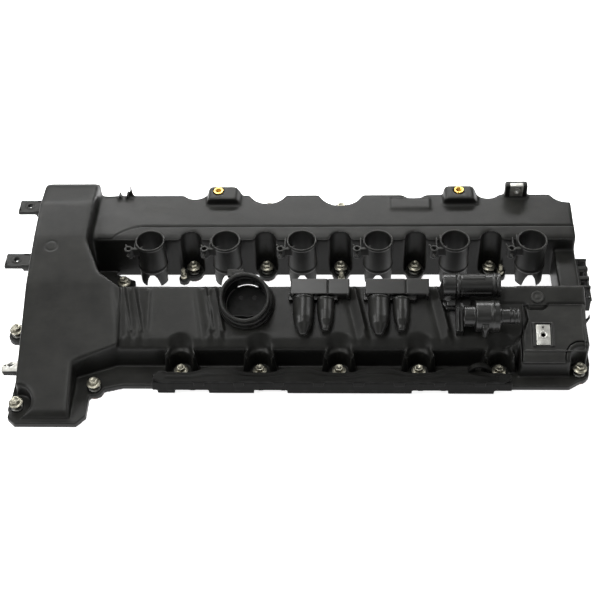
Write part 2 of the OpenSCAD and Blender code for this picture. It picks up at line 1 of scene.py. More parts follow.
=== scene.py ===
"""The look of a straight-six engine's plastic cylinder head cover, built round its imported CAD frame.

Lengths are millimetres measured from the middle of the engine: x along it, y across it, z up from the
gasket face. Every mesh is turned into metres in the frame's own axes when it is made.
"""

import json
import random
from math import cos, pi, radians, sin

import bmesh
import bpy
import numpy as np
from mathutils import Matrix, Vector


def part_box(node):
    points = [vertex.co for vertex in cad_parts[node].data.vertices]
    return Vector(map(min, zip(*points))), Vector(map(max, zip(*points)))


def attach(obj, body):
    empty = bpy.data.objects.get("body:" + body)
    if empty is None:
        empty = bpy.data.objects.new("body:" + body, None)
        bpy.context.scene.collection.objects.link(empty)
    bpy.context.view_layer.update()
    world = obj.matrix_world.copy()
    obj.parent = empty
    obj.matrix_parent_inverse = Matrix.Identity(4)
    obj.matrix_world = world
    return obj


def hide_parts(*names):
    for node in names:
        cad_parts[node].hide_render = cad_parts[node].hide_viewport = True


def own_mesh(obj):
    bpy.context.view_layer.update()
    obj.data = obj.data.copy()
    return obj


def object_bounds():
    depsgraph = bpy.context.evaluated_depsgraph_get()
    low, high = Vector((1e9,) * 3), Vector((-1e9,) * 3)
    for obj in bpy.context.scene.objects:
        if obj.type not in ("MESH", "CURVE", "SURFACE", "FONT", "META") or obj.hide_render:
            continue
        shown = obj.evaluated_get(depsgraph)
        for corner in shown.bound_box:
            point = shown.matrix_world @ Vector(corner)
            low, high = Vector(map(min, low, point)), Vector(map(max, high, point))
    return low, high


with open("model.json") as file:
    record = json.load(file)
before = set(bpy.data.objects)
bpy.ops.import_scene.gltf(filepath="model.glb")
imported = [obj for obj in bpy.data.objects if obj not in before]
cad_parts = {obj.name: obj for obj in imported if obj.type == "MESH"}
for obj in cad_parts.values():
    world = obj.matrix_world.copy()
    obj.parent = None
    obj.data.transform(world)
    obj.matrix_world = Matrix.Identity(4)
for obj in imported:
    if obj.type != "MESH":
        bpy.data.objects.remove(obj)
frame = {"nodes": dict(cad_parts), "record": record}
cad_lo, cad_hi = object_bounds()

# ------------------------
# Studio, in metres: a photographer's light table under large softboxes. The camera looks down on the
# near edge of the cover from a little under fifty degrees, turned slightly towards the timing end.

scene = bpy.context.scene
scene.view_settings.view_transform = "Standard"
CAMERA_PLACE = Vector((0.08, -1.0585, 1.1585))
CAMERA_DOWN = radians(46.8)
CAMERA_TURN = radians(2.68)

level = Vector((0, cos(CAMERA_DOWN), -sin(CAMERA_DOWN)))
right = Vector((1, 0, 0)) * cos(CAMERA_TURN) + level * sin(CAMERA_TURN)
ahead = level * cos(CAMERA_TURN) - Vector((1, 0, 0)) * sin(CAMERA_TURN)
up = Vector((0, sin(CAMERA_DOWN), cos(CAMERA_DOWN)))
lens = bpy.data.cameras.new("view_camera")
lens.sensor_width, lens.lens, lens.clip_end = 36, 78, 50
camera = bpy.data.objects.new("view_camera", lens)
camera.matrix_world = Matrix((right, up, -ahead)).transposed().to_4x4()
camera.location = CAMERA_PLACE
scene.collection.objects.link(camera)
scene.camera = camera
middle = (cad_lo + cad_hi) / 2


def softbox(name, place, wide, deep, watts):
    """A large area light that faces the middle of the cover."""
    light = bpy.data.lights.new(name, "AREA")
    light.shape, light.size, light.size_y, light.energy = "RECTANGLE", wide, deep, watts
    lamp = bpy.data.objects.new(name, light)
    lamp.location = middle + Vector(place)
    lamp.rotation_euler = Vector(place).to_track_quat("Z", "Y").to_euler()
    scene.collection.objects.link(lamp)
    return lamp


softbox("softbox_back", (-0.2, 0.78, 0.58), 1.6, 0.14, 12)
softbox("softbox_top", (-0.1, 0.02, 1.25), 1.5, 0.3, 11)
softbox("softbox_front", (0.7, -1.6, 1.0), 0.8, 0.5, 2)
softbox("strip_left", (-1.1, -0.45, 0.85), 0.14, 1.0, 9)
softbox("strip_right", (1.2, 0.1, 0.8), 0.25, 0.9, 5)

sky = bpy.data.worlds.new("studio_white")
sky.use_nodes = True
sky.node_tree.nodes["Background"].inputs["Color"].default_value = (1, 1, 1, 1)
sky.node_tree.nodes["Background"].inputs["Strength"].default_value = 0.14
scene.world = sky


def fed(tree, made, feeds):
    """Sets a node's inputs. Each feed names one and gives its value or the socket that drives it."""
    for socket, value in feeds:
        if isinstance(value, bpy.types.NodeSocket):
            tree.links.new(value, made.inputs[socket])
        else:
            made.inputs[socket].default_value = value


def node(tree, kind, feeds=(), **settings):
    """Adds a shader node and feeds it."""
    made = tree.nodes.new("ShaderNode" + kind)
    for key, value in settings.items():
        setattr(made, key, value)
    fed(tree, made, feeds)
    return made


def new_material(name, metallic, shader_values):
    """A material with a Principled shader whose uniform numbers are set on its own sockets."""
    material = bpy.data.materials.new(name)
    material.use_nodes = True
    shader = material.node_tree.nodes["Principled BSDF"]
    shader.inputs["Metallic"].default_value = metallic
    for socket, value in shader_values:
        shader.inputs[socket].default_value = value
    return material, material.node_tree, shader


def noise_map(tree, across, detail=3.0, rough=0.55, where=None):
    """Noise whose largest features are about `across` millimetres wide, in the object's own space."""
    where = where or node(tree, "TexCoord").outputs["Object"]
    feeds = [("Vector", where), ("Scale", 1000 / across), ("Detail", detail), ("Roughness", rough)]
    return node(tree, "TexNoise", feeds).outputs["Fac"]


def ramp(tree, value, low, high, to_low=0.0, to_high=1.0):
    """Maps a value's range to another range, held at its ends."""
    feeds = [(0, value), (1, low), (2, high), (3, to_low), (4, to_high)]
    return node(tree, "MapRange", feeds).outputs[0]


def glowing_white():
    material, tree, shader = new_material("table_glow", 0, [("Roughness", 0.9), ("Emission Strength", 0.9)])
    cloud = ramp(tree, noise_map(tree, 400), 0.3, 0.7)
    feeds = [(0, cloud), (6, (0.93, 0.93, 0.93, 1)), (7, (0.97, 0.97, 0.97, 1))]
    mix = node(tree, "Mix", feeds, data_type="RGBA")
    for socket in ("Base Color", "Emission Color"):
        tree.links.new(mix.outputs[2], shader.inputs[socket])
    return material


TABLE_HALF = 1.1
TABLE_Z = cad_lo.z - 0.0006
corners = [(TABLE_HALF * x, TABLE_HALF * y, TABLE_Z) for x, y in ((-1, -1), (1, -1), (1, 1), (-1, 1))]
table_mesh = bpy.data.meshes.new("table")
table_mesh.from_pydata(corners, [], [(0, 1, 2, 3)])
table = bpy.data.objects.new("table", table_mesh)
table_mesh.materials.append(glowing_white())
scene.collection.objects.link(table)

# ------------------------
# Moulding: one skin of black glass-filled nylon over both camshafts and the timing drive, injection
# moulded with its flange, screw pockets, ridges and bosses. Its edges are soft, as a mould leaves them.

MM = 0.001
WELD = 1e-6
tube_mounts = [m for m in frame["record"]["mounts"] if m["name"].startswith("coil_tube")]
tube_places = [Vector(m["pos_m"]) / MM for m in tube_mounts]
TUBE_PITCH = tube_places[1].x - tube_places[0].x
MIDDLE = Vector(((tube_places[0].x + tube_places[5].x) / 2, tube_places[0].y, 0))
HERE = Matrix.Identity(4)
VALLEY_WIDE = 79
ROOF_FALL = 20
SMOOTH_ANGLE = radians(38)


def cad(name):
    """Lowest and highest corner of a CAD node, in millimetres from the middle of the engine."""
    low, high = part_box(name)
    return low / MM - MIDDLE, high / MM - MIDDLE


def moved(x=0.0, y=0.0, z=0.0):
    return Matrix.Translation((x, y, z))


def turned(degrees, axis):
    return Matrix.Rotation(radians(degrees), 4, axis)


lip_y = cad("coil_tube_1")[1].y
valley_y = lip_y - VALLEY_WIDE
ridge_z = 68
back_top = 66
gap_x = [(i - 2) * TUBE_PITCH for i in range(5)]
near_y = valley_y - 89


def on_roof(x, down=0.0, lift=0.0):
    """Stands on the front bank's sloping roof: local -y runs down the slope and +z stands off it."""
    return moved(x, valley_y, ridge_z) @ turned(ROOF_FALL, "X") @ moved(0, -down, lift)


def object_from(work, name):
    """Turns a bmesh into an object in the scene."""
    mesh = bpy.data.meshes.new(name)
    work.to_mesh(mesh)
    work.free()
    made = bpy.data.objects.new(name, mesh)
    scene.collection.objects.link(made)
    return made


def mesh_object(name, build, at=HERE):
    """Runs a bmesh builder that works in millimetres and returns the result as an object in metres."""
    work = bmesh.new()
    build(work)
    bmesh.ops.remove_doubles(work, verts=work.verts, dist=0.002)
    bmesh.ops.recalc_face_normals(work, faces=work.faces)
    work.transform(Matrix.Scale(MM, 4) @ Matrix.Translation(MIDDLE) @ at)
    return object_from(work, name)


def block(low, high, at=HERE):
    """A box between two corners."""

    def build(work):
        made = bmesh.ops.create_cube(work, size=1)["verts"]
        size = [b - a for a, b in zip(low, high)]
        centre = [(a + b) / 2 for a, b in zip(low, high)]
        bmesh.ops.scale(work, verts=made, vec=size)
        bmesh.ops.translate(work, verts=made, vec=centre)

    return mesh_object("block", build, at)


def prism(outline, low, high, at=HERE):
    """A flat outline in x and y, extruded from low to high."""

    def build(work):
        floor = [work.verts.new((x, y, low)) for x, y in outline]
        roof = [work.verts.new((x, y, high)) for x, y in outline]
        work.faces.new(floor)
        work.faces.new(roof)
        for i in range(len(outline)):
            j = (i + 1) % len(outline)
            work.faces.new((floor[i], floor[j], roof[j], roof[i]))

    return mesh_object("prism", build, at)


def lathe(profile, at=HERE, turns=48):
    """A closed profile of radius and height points, spun round z."""

    def build(work):
        rings = []
        for k in range(turns):
            a = 2 * pi * k / turns
            rings.append([work.verts.new((r * cos(a), r * sin(a), z)) for r, z in profile])
        for k in range(turns):
            one, two = rings[k], rings[(k + 1) % turns]
            for i in range(len(profile)):
                j = (i + 1) % len(profile)
                if profile[i][0] or profile[j][0]:
                    work.faces.new((one[i], two[i], two[j], one[j]))

    return mesh_object("lathe", build, at)


def sweep(path, radius, at=HERE, sides=12, closed=False):
    """A round bar along a path; its radius may be a number or one for each point."""

    def build(work):
        points = [Vector(p) for p in path]
        sizes = radius if isinstance(radius, list) else [radius] * len(points)
        rings, side = [], None
        for i, p in enumerate(points):
            last = points[i - 1] if i or closed else p
            then = points[(i + 1) % len(points)] if i + 1 < len(points) or closed else p
            run = (then - last).normalized()
            if side is None:
                side = run.orthogonal().normalized()
            side = (side - run * side.dot(run)).normalized()
            other = run.cross(side)
            angles = [2 * pi * k / sides for k in range(sides)]
            ring = [p + (side * cos(a) + other * sin(a)) * sizes[i] for a in angles]
            rings.append([work.verts.new(v) for v in ring])
        pairs = list(zip(rings, rings[1:])) + ([(rings[-1], rings[0])] if closed else [])
        for one, two in pairs:
            for k in range(sides):
                j = (k + 1) % sides
                work.faces.new((one[k], one[j], two[j], two[k]))
        if not closed:
            work.faces.new(rings[0])
            work.faces.new(rings[-1])

    return mesh_object("sweep", build, at)


def settled(made, name=None):
    """Replaces an object's mesh with what its modifiers make of it."""
    graph = bpy.context.evaluated_depsgraph_get()
    mesh = bpy.data.meshes.new_from_object(made.evaluated_get(graph))
    made.modifiers.clear()
    made.data = mesh
    if name:
        made.name = mesh.name = name
    return made


def dropped(*objects):
    for one in objects:
        bpy.data.objects.remove(one)


def carved(body, add=(), cut=()):
    """Fuses solids into a body and cuts others out of it."""
    for tools, how in ((add, "UNION"), (cut, "DIFFERENCE")):
        for tool in tools:
            step = body.modifiers.new(how, "BOOLEAN")
            step.operation, step.solver, step.object = how, "MANIFOLD", tool
    settled(body)
    dropped(*add, *cut)
    return body


def joined(objects, name):
    """Lays several meshes in one object, without fusing them."""
    work = bmesh.new()
    for one in objects:
        work.from_mesh(one.data)
    dropped(*objects)
    return object_from(work, name)


def softened(made, width, segments=2, angle=SMOOTH_ANGLE):
    """Rounds a mesh's hard edges over by a width in millimetres."""
    round_off = made.modifiers.new("round", "BEVEL")
    round_off.width, round_off.segments = width * MM, segments
    round_off.limit_method, round_off.angle_limit = "ANGLE", angle
    round_off.use_clamp_overlap = True
    return settled(made)


def placed(made, name, material, body="cover", stands_for=(), angle=SMOOTH_ANGLE):
    """Names a piece, gives it its finish and its body, and hides the CAD nodes that it stands for."""
    made.name = made.data.name = name
    made.data.materials.clear()
    made.data.materials.append(material)
    made.data.shade_smooth()
    made.data.set_sharp_from_angle(angle=angle)
    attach(made, body)
    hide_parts(*stands_for)
    return made


def node_group(name, inputs, outputs):
    """A shader node group with named sockets; returns its tree and its two ends."""
    tree = bpy.data.node_groups.new(name, "ShaderNodeTree")
    for label, kind, value in inputs:
        socket = tree.interface.new_socket(label, in_out="INPUT", socket_type="NodeSocket" + kind)
        socket.default_value = value
    for label, kind in outputs:
        tree.interface.new_socket(label, in_out="OUTPUT", socket_type="NodeSocket" + kind)
    return tree, tree.nodes.new("NodeGroupInput").outputs, tree.nodes.new("NodeGroupOutput").inputs


def use(tree, name, feeds):
    """Places a node group in a material and returns its outputs."""
    made = tree.nodes.new("ShaderNodeGroup")
    made.node_tree = bpy.data.node_groups[name]
    fed(tree, made, feeds)
    return made.outputs


def mixed(tree, share, one, two, blend="MIX"):
    feeds = [(0, share), (6, one), (7, two)]
    return node(tree, "Mix", feeds, data_type="RGBA", blend_type=blend).outputs[2]


def combined(tree, how, one, two):
    return node(tree, "Math", [(0, one), (1, two)], operation=how).outputs[0]


def object_space(tree):
    return node(tree, "TexCoord").outputs["Object"]


def grain_group():
    """The dimpled skin that a spark-eroded mould leaves, and faint sinks over the ribs behind."""
    tree, given, result = node_group(
        "moulded_grain", [("Grain", "Float", 1.2), ("Sinks", "Float", 0.3)], [("Height", "Float")]
    )
    scale = node(tree, "Math", [(0, 1000.0), (1, given["Grain"])], operation="DIVIDE").outputs[0]
    where = object_space(tree)
    feeds = [("Vector", where), ("Scale", scale), ("Detail", 2.0), ("Roughness", 0.6)]
    dimples = node(tree, "TexNoise", feeds).outputs["Fac"]
    sinks = combined(tree, "MULTIPLY", noise_map(tree, 26, 1.0, where=where), given["Sinks"])
    tree.links.new(combined(tree, "ADD", dimples, combined(tree, "MULTIPLY", sinks, 4.0)), result["Height"])


COLOUR_IN = ("Colour", "Color", (0.03, 0.03, 0.03, 1))
MASKED_OUT = [("Colour", "Color"), ("Mask", "Float")]


def flow_group():
    """Slow changes of shade and gloss along the flow of the plastic, with a few paler wisps."""
    tree, given, result = node_group(
        "flow_marks",
        [COLOUR_IN, ("Contrast", "Float", 0.4)],
        [("Colour", "Color"), ("Gloss", "Float")],
    )
    where = object_space(tree)
    long = node(tree, "Mapping", [("Vector", where), ("Scale", (0.35, 1.0, 1.0))]).outputs[0]
    broad = noise_map(tree, 60, 4.0, 0.6, long)
    fine = noise_map(tree, 4, 5.0, 0.7, long)
    wisps = combined(tree, "MULTIPLY", ramp(tree, broad, 0.35, 0.7), ramp(tree, fine, 0.35, 0.75))
    shade = combined(tree, "MULTIPLY", wisps, given["Contrast"])
    pale = mixed(tree, 1.0, given["Colour"], (2.6, 2.6, 2.55, 1), "MULTIPLY")
    tree.links.new(mixed(tree, shade, given["Colour"], pale), result["Colour"])
    tree.links.new(ramp(tree, combined(tree, "ADD", broad, fine), 0.7, 1.3), result["Gloss"])


def edge_wear_and_highlight_group():
    """Edges paled partly by handling wear and partly by a painted highlight on convex rims, broken up so that
    no line is even.
    """
    inputs = [COLOUR_IN, ("Worn_and_lit", "Color", (0.1, 0.1, 0.1, 1)), ("Amount", "Float", 0.5)]
    tree, given, result = node_group("edge_wear_and_highlight", inputs, MASKED_OUT)
    sharpness = node(tree, "NewGeometry").outputs["Pointiness"]
    # This convex-edge mask pales the edges: part wear, part painted highlight.
    edges = ramp(tree, sharpness, 0.505, 0.56)
    broken = ramp(tree, noise_map(tree, 7, 5.0, 0.65), 0.38, 0.62)
    mask = combined(tree, "MULTIPLY", combined(tree, "MULTIPLY", edges, broken), given["Amount"])
    tree.links.new(mixed(tree, mask, given["Colour"], given["Worn_and_lit"]), result["Colour"])
    tree.links.new(mask, result["Mask"])


def dust_group():
    """A thin film of dust on what faces up, thicker in patches."""
    inputs = [COLOUR_IN, ("Dust", "Color", (0.25, 0.24, 0.21, 1)), ("Amount", "Float", 0.1)]
    tree, given, result = node_group("settled_dust", inputs, MASKED_OUT)
    facing = node(tree, "NewGeometry").outputs["Normal"]
    upward = node(tree, "SeparateXYZ", [(0, facing)]).outputs["Z"]
    flat = ramp(tree, upward, 0.3, 0.95)
    patches = ramp(tree, noise_map(tree, 35, 6.0, 0.62), 0.35, 0.75, 0.25, 1.0)
    mask = combined(tree, "MULTIPLY", combined(tree, "MULTIPLY", flat, patches), given["Amount"])
    tree.links.new(mixed(tree, mask, given["Colour"], given["Dust"]), result["Colour"])
    tree.links.new(mask, result["Mask"])


grain_group()
flow_group()
edge_wear_and_highlight_group()
dust_group()
DUST = (0.22, 0.22, 0.19, 1)


def relieved(tree, height, strength, depth):
    """A normal bent by a height."""
    feeds = [("Strength", strength), ("Distance", depth), ("Height", height)]
    return node(tree, "Bump", feeds).outputs[0]


def black_plastic(name, colour, roughness, grain=1.2, wear_and_highlight=0.4, dust=0.06, bump=0.12, gloss=0.2):
    """Black glass-filled nylon: flow marks, edges paled by wear and by a painted highlight, a little dust,
    and the mould's grain.
    """
    material, tree, shader = new_material(name, 0, [("Specular IOR Level", gloss)])
    flow = use(tree, "flow_marks", [("Colour", (*colour, 1)), ("Contrast", 0.35)])
    # Paler edge colour: wear plus a painted highlight.
    polished_and_lit = tuple(c * 2.4 + 0.015 for c in colour)
    worn_and_lit = use(tree, "edge_wear_and_highlight", [("Colour", flow["Colour"]), ("Worn_and_lit", (*polished_and_lit, 1)), ("Amount", wear_and_highlight)])
    dusty = use(tree, "settled_dust", [("Colour", worn_and_lit["Colour"]), ("Dust", DUST), ("Amount", dust)])
    matt = ramp(tree, flow["Gloss"], 0, 1, roughness - 0.05, roughness + 0.07)
    matt = combined(tree, "ADD", matt, dusty["Mask"])
    matt = combined(tree, "SUBTRACT", matt, ramp(tree, worn_and_lit["Mask"], 0, 1, 0, 0.12))
    skin = use(tree, "moulded_grain", [("Grain", grain)])
    relief = relieved(tree, skin["Height"], bump, 0.0004)
    fed(tree, shader, [("Base Color", dusty["Colour"]), ("Roughness", matt), ("Normal", relief)])
    return material


moulding_black = black_plastic("moulding_black", (0.0065, 0.0065, 0.006), 0.38)

SHELLS = ("shell_timing_end", "shell_back_bank", "shell_front_bank", "shell_rear_end")
SKIN_VOXEL = 1.15
CREASE_Y = 40.5


def copy_of(name):
    """A free copy of a CAD node's mesh, with its points welded."""
    work = bmesh.new()
    work.from_mesh(frame["nodes"][name].data)
    bmesh.ops.remove_doubles(work, verts=work.verts, dist=WELD)
    return object_from(work, name + "_copy")


def reskinned(made, voxel, passes):
    """Turns overlapping solids into one skin with soft edges."""
    melt = made.modifiers.new("melt", "REMESH")
    melt.mode, melt.voxel_size = "VOXEL", voxel * MM
    ease = made.modifiers.new("ease", "SMOOTH")
    ease.factor, ease.iterations = 0.5, passes
    return settled(made)


def roof_point(x, down, lift=0.0):
    return on_roof(x, down, lift) @ Vector((0, 0, 0))


moulding = joined([copy_of(name) for name in SHELLS], "cover_moulding")
moulding = reskinned(moulding, SKIN_VOXEL, 3)


def points_of(mesh):
    """The mesh's points and normals, in millimetres from the middle of the engine."""
    flat = np.zeros(len(mesh.vertices) * 3)
    mesh.vertices.foreach_get("co", flat)
    normals = np.zeros(len(mesh.vertices) * 3)
    mesh.vertex_normals.foreach_get("vector", normals)
    return flat.reshape(-1, 3) / MM - np.array(MIDDLE), normals.reshape(-1, 3)


def set_points(mesh, points):
    mesh.vertices.foreach_set("co", ((points + np.array(MIDDLE)) * MM).ravel())
    mesh.update()


def blended(value, low, high):
    """0 below low, 1 above high, smooth between."""
    t = np.clip((value - low) / (high - low), 0, 1)
    return t * t * (3 - 2 * t)


def from_line(points, line):
    """Distance in plan from each point to an open line of corners."""
    best = np.full(len(points), 1e9)
    for (ax, ay), (bx, by) in zip(line, line[1:]):
        dx, dy = bx - ax, by - ay
        t = np.clip(((points[:, 0] - ax) * dx + (points[:, 1] - ay) * dy) / (dx * dx + dy * dy), 0, 1)
        best = np.minimum(best, np.hypot(points[:, 0] - ax - t * dx, points[:, 1] - ay - t * dy))
    return best


def weld_channel(mesh):
    """Presses in the channel that runs round the rear lid's weld."""
    points, normals = points_of(mesh)
    x, y, z = points.T
    weld = [(184, -84), (212.5, -84), (218, -90), (234, -90), (241, -84), (285, -84)]
    branch = [(212, -85), (215, -103), (208, -121), (199, -129), (186, -129)]
    channel = np.minimum(from_line(points, weld), from_line(points, branch))
    upward = blended(normals[:, 2], 0.35, 0.7)
    z = z - (1 - blended(channel, 0.6, 1.9)) * 1.8 * upward * (z > 30)
    set_points(mesh, np.column_stack([x, y, z]))


def fluted(mesh):
    """Raises the front roof's stiffening flutes and the arched brows over the near screws."""
    points, normals = points_of(mesh)
    x, y, z = points.T
    on_front = blended(normals[:, 2], 0.25, 0.6) * (y < valley_y - 3) * (y > near_y + 8) * (z > 32)
    fade = blended(y, -134, -122) * (1 - blended(y, -72, -64))
    rise = np.zeros(len(x))
    for top_x, foot_x in ((-255, -242), (-244, -231), (-160, -146), (-149, -136), (14, 32), (110, 127)):
        across = from_line(points, [(top_x, -62), (foot_x, -136)])
        rise += 2.8 * np.exp(-((across / 3.4) ** 2)) * fade
        rise -= 1.5 * np.exp(-(((across - 7.5) / 3.2) ** 2)) * fade
    for screw_x in gap_x:
        round_screw = np.hypot(x - screw_x, (y - near_y + 4) * 0.85)
        rise += 2.6 * np.exp(-(((round_screw - 19.5) / 3.2) ** 2)) * blended(y, near_y + 6, near_y + 14)
    set_points(mesh, np.column_stack([x, y, z + rise * on_front]))


def creased(mesh):
    """Presses in the back bank's long step and the round mark on the timing drive."""
    points, normals = points_of(mesh)
    x, y, z = points.T
    upward = blended(normals[:, 2], 0.35, 0.7)
    bend = np.clip(-239 - x, 0, 40)
    step_y = CREASE_Y - 0.0125 * bend**2
    on_bank = upward * (z > back_top - 8) * (y > lip_y - 2) * (x > -296) * (y < 62)
    fall = (1 - blended(y, step_y - 0.8, step_y + 0.8)) * (1.0 + 0.05 * np.clip(step_y - y, 0, 30))
    line = np.exp(-(((y - step_y) / 0.9) ** 2)) * 0.9
    z = z - on_bank * (fall + line)
    boss = np.hypot(x + 345, y + 10.2)
    z = z - np.exp(-(((boss - 7) / 1.0) ** 2)) * 0.7 * upward * (z > 70)
    set_points(mesh, np.column_stack([x, y, z]))


def eased(made, passes=90):
    """Rounds the skin off: a lot over the timing drive, less over the banks, not at all at the flange."""
    x, z = points_of(made.data)[0].T[[0, 2]]
    over_timing = 1 - blended(x, -300, -262)
    share = blended(z, 9, 20) * (0.3 + 0.7 * over_timing)
    level = np.round(share * 20).astype(int)
    group = made.vertex_groups.new(name="ease")
    for step in range(1, 21):
        members = np.flatnonzero(level == step).tolist()
        if members:
            group.add(members, step / 20, "REPLACE")
    smooth = made.modifiers.new("ease", "SMOOTH")
    smooth.factor, smooth.iterations, smooth.vertex_group = 0.5, passes, "ease"
    settled(made)
    made.vertex_groups.clear()


fluted(moulding.data)
eased(moulding)
creased(moulding.data)
weld_channel(moulding.data)
placed(moulding, "cover_moulding", moulding_black, stands_for=SHELLS, angle=radians(60))

# ------------------------
# Coil tubes: a round well for each ignition coil, moulded with the cover, with a rim paled by wear and by a
# painted highlight, an eye for the plug's clip, a curled arm that steadies it and two broad legs below the
# open rim.

# The high edge amount pales the tube rims: wear plus a painted highlight.
tube_black = black_plastic("tube_black", (0.008, 0.008, 0.0075), 0.42, wear_and_highlight=0.9, dust=0.1)


def arc(centre, radius, start, end, z, steps=10):
    """Points along a level arc, angles in degrees."""
    angles = [radians(start + (end - start) * k / steps) for k in range(steps + 1)]
    return [(centre[0] + radius * cos(a), centre[1] + radius * sin(a), z) for a in angles]


def refined(names, extras, voxel, passes, name):
    """One soft-edged skin round copies of CAD nodes and the extra solids that belong to them."""
    return reskinned(joined([copy_of(n) for n in names] + extras, name), voxel, passes)


def coil_tube(number):
    node_name = f"coil_tube_{number}"
    x = (number - 3.5) * TUBE_PITCH
    top = cad(node_name)[1].z
    bead = [(17.1, 1.6), (18.0, 0.6), (18.0, -1.4), (17.1, -2.4), (16.2, -1.4), (16.2, 0.6)]
    rim = lathe([(r, top + z - 1.7) for r, z in bead], moved(x))
    collar = lathe([(16.6, 40), (18.1, 40), (18.1, 42.5), (16.6, 42.5)], moved(x))
    arm = sweep([(x + p[0], p[1], p[2]) for p in arc((-19, 4), 11.5, 195, 330, top - 9)], 1.3, sides=8)
    hook = sweep([(x - 24, -15, top - 8), (x - 26, -19, top - 8), (x - 23.5, -21, top - 8)], 1.4, sides=8)
    rib = block((x - 21.5, -8, top - 22), (x - 19.7, lip_y + 1, top - 15))
    tie = block((x - 17, 5, top - 18), (x - 15.2, lip_y + 1, top - 10))
    extras = [rim, collar, arm, hook, rib, tie]
    made = refined([node_name], extras, 0.75, 2, node_name)
    placed(made, f"tube_{number}", tube_black, stands_for=[node_name], angle=radians(50))


for number in range(1, 7):
    coil_tube(number)

# ------------------------
# Oil filler: a leaning round neck on a broad collar, with a turned rim, a key lug and, down the bore,
# a welded baffle that leaves a crescent open for the oil.

filler_black = black_plastic("filler_black", (0.0075, 0.0075, 0.007), 0.38, wear_and_highlight=0.7)
inner_black = black_plastic("inner_black", (0.012, 0.012, 0.0115), 0.6, wear_and_highlight=0.2, dust=0.02)
FILLER_LONG, FILLER_WIDE = 42, 57
filler_at = moved(-2.5 * TUBE_PITCH + TUBE_PITCH + 29.5, valley_y - 42, ridge_z + 21) @ turned(30, "X")


def filler():
    outer = FILLER_WIDE / 2
    lip = [(25.6, -3), (25.6, 0.3), (26.2, 0.9), (28, 0.9), (28.9, 0), (28.9, -2.6), (28.2, -4)]
    rim = lathe(lip, filler_at)
    band = lathe([(27, -16), (outer + 1.6, -16), (outer + 1.6, -13), (27, -12)], filler_at)
    skirt = lathe([(27, -41), (outer + 4.5, -41), (outer + 3.2, -26), (27, -21)], filler_at)
    ledge = lathe([(23.6, -9), (25.6, -9), (25.6, -8), (23.6, -8)], filler_at)
    lug = block((-6.5, outer - 2, -8), (6.5, outer + 4.2, -1), filler_at @ turned(14, "Z"))
    ramps = []
    for spin in (-62, 62, 180):
        level_bar = arc((0, 0), 25, spin - 22, spin + 22, 0)
        ramp_bar = [(p[0], p[1], -6 - k * 0.35) for k, p in enumerate(level_bar)]
        ramps.append(sweep(ramp_bar, 1.3, filler_at, sides=8))
    made = refined(["filler_neck"], [rim, band, skirt, ledge, lug] + ramps, 0.7, 2, "filler")
    placed(made, "filler_ring", filler_black, stands_for=["filler_neck"])


filler()


def filler_floor():
    """The baffle across the neck's foot, dished, with one crescent and two drain holes."""
    deep = -FILLER_LONG - 2
    plate = lathe([(0, deep), (24.4, deep), (24.4, deep + 2), (0, deep + 1.4)], filler_at)
    gap = lathe([(13, deep - 3), (21, deep - 3), (21, deep + 5), (13, deep + 5)], filler_at)
    keep = block((-40, -12, deep - 4), (40, 40, deep + 6), filler_at)
    carved(gap, cut=[keep])
    drill = [(0, deep - 3), (2.6, deep - 3), (2.6, deep + 5), (0, deep + 5)]
    holes = [lathe(drill, filler_at @ moved(x, 9)) for x in (-8, 8)]
    made = carved(plate, cut=[gap] + holes)
    placed(made, "filler_floor", inner_black, stands_for=["filler_baffle"])


filler_floor()

# ------------------------
# Oil separators: two welded heads on the front roof, each with a pair of fat round-nosed cyclone
# cones lying down the slope. The cones are glossier than the body, so their crowns catch the light.

separator_black = black_plastic(
    "separator_black", (0.008, 0.008, 0.0076), 0.3, grain=2.5, wear_and_highlight=0.5, bump=0.03, gloss=0.32
)


def separator(number):
    head, cones = f"separator_head_{number}", f"separator_cones_{number}"
    low, high = cad(head)
    start = low.x + 2.5
    wide = high.x - start
    lip = block((-2.5, -24.5, 5.8), (wide * 0.8, -16, 8.2), on_roof(start))
    ledge = block((0.5, -20.5, 12.5), (wide - 0.5, -18.5, 14), on_roof(start))
    posts = []
    for share in (0.04, 0.36, 0.97):
        x = wide * share
        posts.append(block((x - 1.2, -22, 0.4), (x + 1.2, -19, 14.6), on_roof(start)))
    made = refined([head], [lip, ledge] + posts, 0.6, 2, head)
    placed(made, f"separator_cap_{number}", separator_black, stands_for=[head])
    bodies = []
    for k in (0, 1):
        radius = 12.2 * (1 - 0.2 * k)
        long = 46.5 * (1 - 0.13 * k)
        nose = [(0, long), (3, long - 0.4), (4.8, long - 2), (radius * 0.55, long - 6)]
        side = [(radius * 0.82, long - 13), (radius * 0.95, long - 21), (radius, 16), (radius, 8)]
        mouth = [(radius, 0.4), (radius - 2, 0.4), (radius - 2, 9), (0, 9)]
        at = on_roof(start + 15 + 25.5 * k, 24.1, 0.4 + radius) @ turned(90, "X")
        bodies.append(lathe(nose + side + mouth, at))
        hoop = [(radius - 1, 0.6), (radius + 0.7, 0.6), (radius + 0.7, 2.6), (radius - 1, 3.4)]
        bodies.append(lathe(hoop, at))
    made = reskinned(joined(bodies, cones), 0.55, 9)
    placed(made, f"cyclones_{number}", separator_black, stands_for=[cones])


separator(1)
separator(2)

# ------------------------
# Rear separator: a lid vibration welded over its chamber. A channel traces the weld, a raised frame
# holds the clip nut, and a spun disc closes the port in the body beside it.

# The lid's base colour is paler than the moulding's: painted sheen that brightens the lid as if it caught
# more light.
lid_black_painted_sheen = black_plastic("lid_black_painted_sheen", (0.016, 0.016, 0.0155), 0.34, wear_and_highlight=0.8, dust=0.09)


